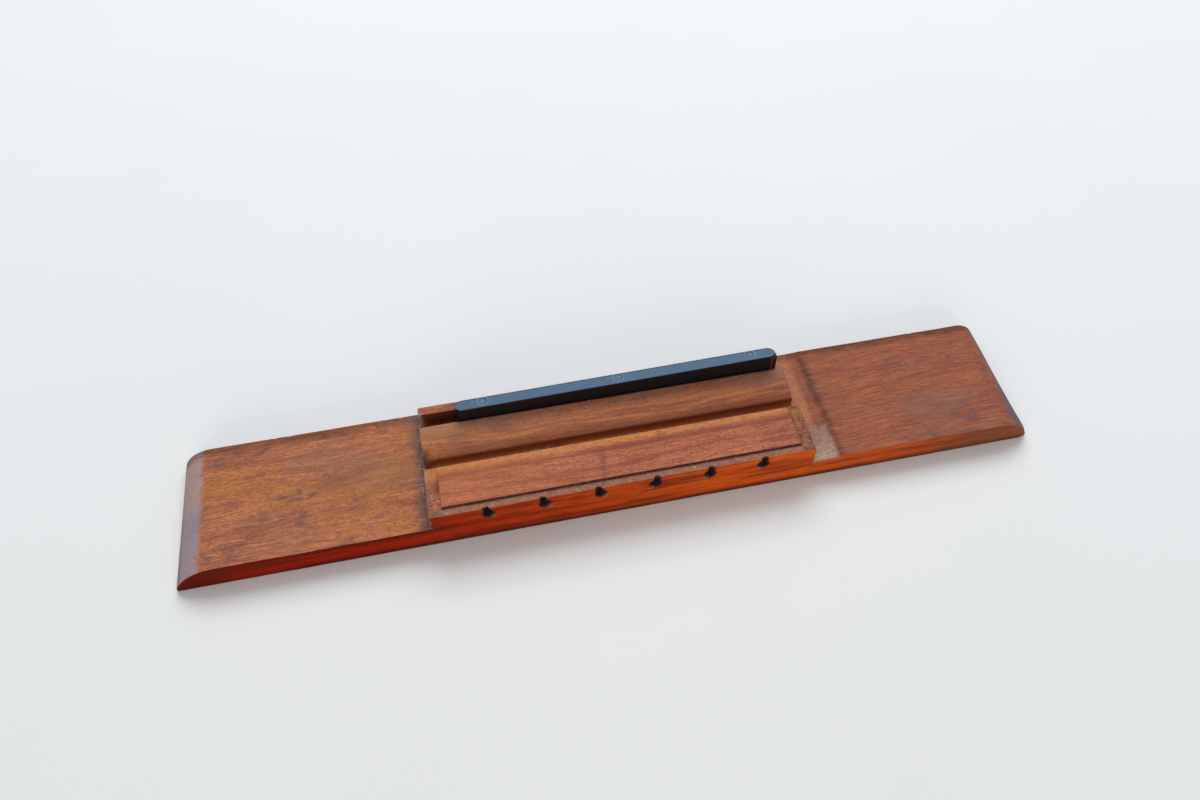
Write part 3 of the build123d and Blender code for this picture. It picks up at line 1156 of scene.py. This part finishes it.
def plate_tones(r, wood, place):
    """Pinker wood than the bridge's, with a purple stripe and a worn orange rear edge."""
    figure = r.noise((0.035, 0.6, 0.6), detail=3.0, seed=107.0, place=place)
    patches = r.noise((0.06, 0.3, 0.3), detail=2.0, seed=119.0)
    colour = r.blend(r.between(wood.streaks, 0.3, 0.7), PLATE_MID, PLATE_LIGHT)
    colour = r.blend(r.between(figure, 0.52, 0.34, 0.0, 0.5), colour, PLATE_PURPLE)
    colour = r.blend(r.between(wood.mottle, 0.52, 0.36, 0.0, 0.5), colour, PLATE_PURPLE)
    colour = r.blend(r.between(wood.fine, 0.56, 0.38, 0.0, 0.5), colour, FINE_DARK)
    stripe = r.times(r.between(r.y, -6.8, -5.9), r.between(r.y, -4.4, -5.2))
    stripe = r.times(stripe, r.between(patches, 0.36, 0.54, 0.15, 0.7))
    colour = r.blend(stripe, colour, PLATE_PURPLE)
    colour = r.blend(r.between(r.x, 0.0, -36.0, 0.0, 0.25), colour, PLATE_GOLD)
    rubbed = r.times(r.painted("wear"), r.between(wood.mottle, 0.36, 0.56, 0.3, 0.85))
    colour = r.blend(rubbed, colour, PLATE_ORANGE)
    colour = r.blend(r.between(wood.pores, 0.44, 0.3, 0.0, 0.6), colour, PLATE_PORE)
    # Dark dirt and painted shade from the mask.
    grime_and_shade = r.times(r.painted("grime_and_shade"), r.between(wood.speckle, 0.3, 0.6, 0.7, 1.1))
    return r.blend(grime_and_shade, colour, GRIME_AND_SHADE)


def plate_wood():
    r = Recipe("plate_wood")
    place = wandering(r)
    wood = grain_noises(r, place, 100.0)
    r.set("Base Color", plate_tones(r, wood, place))
    warm_shine(r)
    r.set("Roughness", r.between(wood.streaks, 0.3, 0.7, 0.56, 0.44))
    r.bump(r.plus(wood.pores, r.times(wood.streaks, 0.6)), 0.06)
    return r.material


def black_plastic():
    r = Recipe("black_plastic")
    scuffs = r.noise((0.25, 3.0, 3.0), detail=4.0, rough=0.65, seed=201.0)
    pits = r.noise((3.5, 3.5, 3.5), detail=3.0, seed=207.0)
    # Upward faces: dust, and a painted bluish sky sheen.
    upward = r.between(r.normal_z, 0.93, 0.998)
    dust_and_sheen = r.times(upward, r.between(scuffs, 0.3, 0.7, 0.4, 1.0))
    colour = r.blend(dust_and_sheen, PLASTIC, PLASTIC_DUST_AND_SHEEN)
    r.set("Base Color", r.blend(r.times(r.painted("disc"), 0.45), colour, PLASTIC_RUBBED))
    r.set("Specular IOR Level", 0.3)
    r.set("Roughness", r.between(scuffs, 0.3, 0.7, 0.26, 0.46))
    r.set("Specular Tint", COOL_SHINE)
    r.bump(r.plus(pits, scuffs), 0.02)
    return r.material


def old_glue():
    r = Recipe("old_glue")
    tone = r.noise((2.0, 2.0, 2.0), detail=2.0, seed=301.0)
    r.set("Base Color", r.blend(r.between(tone, 0.3, 0.7), GLUE_DARK, GLUE_PALE))
    r.set("Roughness", r.between(tone, 0.3, 0.7, 0.6, 0.85))
    r.bump(tone, 0.05)
    return r.material


def pale_floor():
    r = Recipe("pale_floor")
    tone = r.noise((0.02, 0.02, 0.02), detail=2.0, seed=401.0)
    r.set("Base Color", r.blend(tone, FLOOR_WARM, FLOOR_PALE))
    r.set("Roughness", 0.9)
    return r.material


# ======== pieces ========

def make_bridge():
    walls = [0.0, TIE_DEPTH, RIDGE_START, SLOT_FRONT, SLOT_REAR, WIDTH]
    depths = crowded(spaced(0.0, WIDTH, 0.45), walls)
    rings = [body_ring(x, depths) for x in body_stations()]
    piece = to_object(skin(rings), "bridge_wood")
    cut(piece, string_cutter("hole_cutter", hole_rings))
    cut(piece, string_cutter("notch_cutter", notch_rings))
    shade(piece)
    masks = {
        "grime_and_shade": grime_and_shade_mask,
        "bare": bare_mask,
        "haze_and_sheen": haze_and_sheen_mask,
        "wear": wear_and_highlight_mask,
        "foot": foot_mask,
        "ridge": ridge_mask,
        "tie": tie_mask,
    }
    paint(piece, masks)
    finish_piece(piece, "bridge", "bridge_body", stained_wood())


def make_plate():
    ends = [plate_low.x, plate_high.x]
    stations = crowded(spaced(*ends, 0.7), ends)
    piece = to_object(skin([plate_ring(x) for x in stations]), "tie_plate")
    shade(piece)
    paint(piece, {"grime_and_shade": plate_grime_and_shade, "wear": plate_wear})
    finish_piece(piece, "bridge", "tie_block_plate", plate_wood())


def make_saddle():
    piece = to_object(skin([saddle_ring(x) for x in saddle_stations()]), "saddle_bar")
    shade(piece)
    paint(piece, {"disc": disc_mask})
    finish_piece(piece, "saddle", "saddle", black_plastic())


def make_flecks():
    piece = glue_flecks()
    shade(piece, 60)
    piece.data.materials.append(old_glue())
    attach(piece, "bridge")


# ======== stage ========

def make_floor():
    shape = bmesh.new()
    bmesh.ops.create_grid(shape, x_segments=8, y_segments=8, size=4.0)
    floor = to_object(shape, "floor")
    floor.data.materials.append(pale_floor())


def softbox(name, place, aim, size, power, colour):
    """A large soft lamp, turned toward aim. Place, aim and size are in metres."""
    light = bpy.data.lights.new(name, "AREA")
    light.shape = "RECTANGLE"
    light.size, light.size_y = size
    light.energy = power
    light.color = colour
    lamp = bpy.data.objects.new(name, light)
    lamp.location = place
    lamp.rotation_mode = "QUATERNION"
    lamp.rotation_quaternion = (aim - place).to_track_quat("-Z", "Y")
    bpy.context.scene.collection.objects.link(lamp)


def make_lights():
    centre = Vector((0, 0, 0))
    softbox(
        "back_box",
        place=Vector((0.15, 0.62, 0.80)),
        aim=centre,
        size=(0.9, 0.6),
        power=9.0,
        colour=(0.84, 0.92, 1.0),
    )
    softbox(
        "front_box",
        place=Vector((-0.5, -1.9, 0.62)),
        aim=centre,
        size=(1.6, 0.9),
        power=17.0,
        colour=(1.0, 0.86, 0.74),
    )
    world = bpy.data.worlds.new("soft_room")
    world.use_nodes = True
    backdrop = world.node_tree.nodes["Background"]
    backdrop.inputs["Color"].default_value = (0.92, 0.96, 1.0, 1.0)
    backdrop.inputs["Strength"].default_value = 0.5
    bpy.context.scene.world = world


def make_camera():
    camera = bpy.data.cameras.new("photo_view")
    camera.lens = CAMERA_LENS
    camera.sensor_width = SENSOR_WIDTH
    camera.clip_start = 0.01
    eye = bpy.data.objects.new("photo_view", camera)
    eye.location = CAMERA_PLACE
    eye.rotation_mode = "QUATERNION"
    level = (CAMERA_AIM - CAMERA_PLACE).to_track_quat("-Z", "Y")
    eye.rotation_quaternion = level @ Quaternion((0, 0, 1), CAMERA_ROLL)
    bpy.context.scene.collection.objects.link(eye)
    bpy.context.scene.camera = eye


make_camera()
make_bridge()
make_plate()
make_saddle()
make_flecks()
make_floor()
make_lights()
bpy.context.scene.view_settings.view_transform = "Standard"
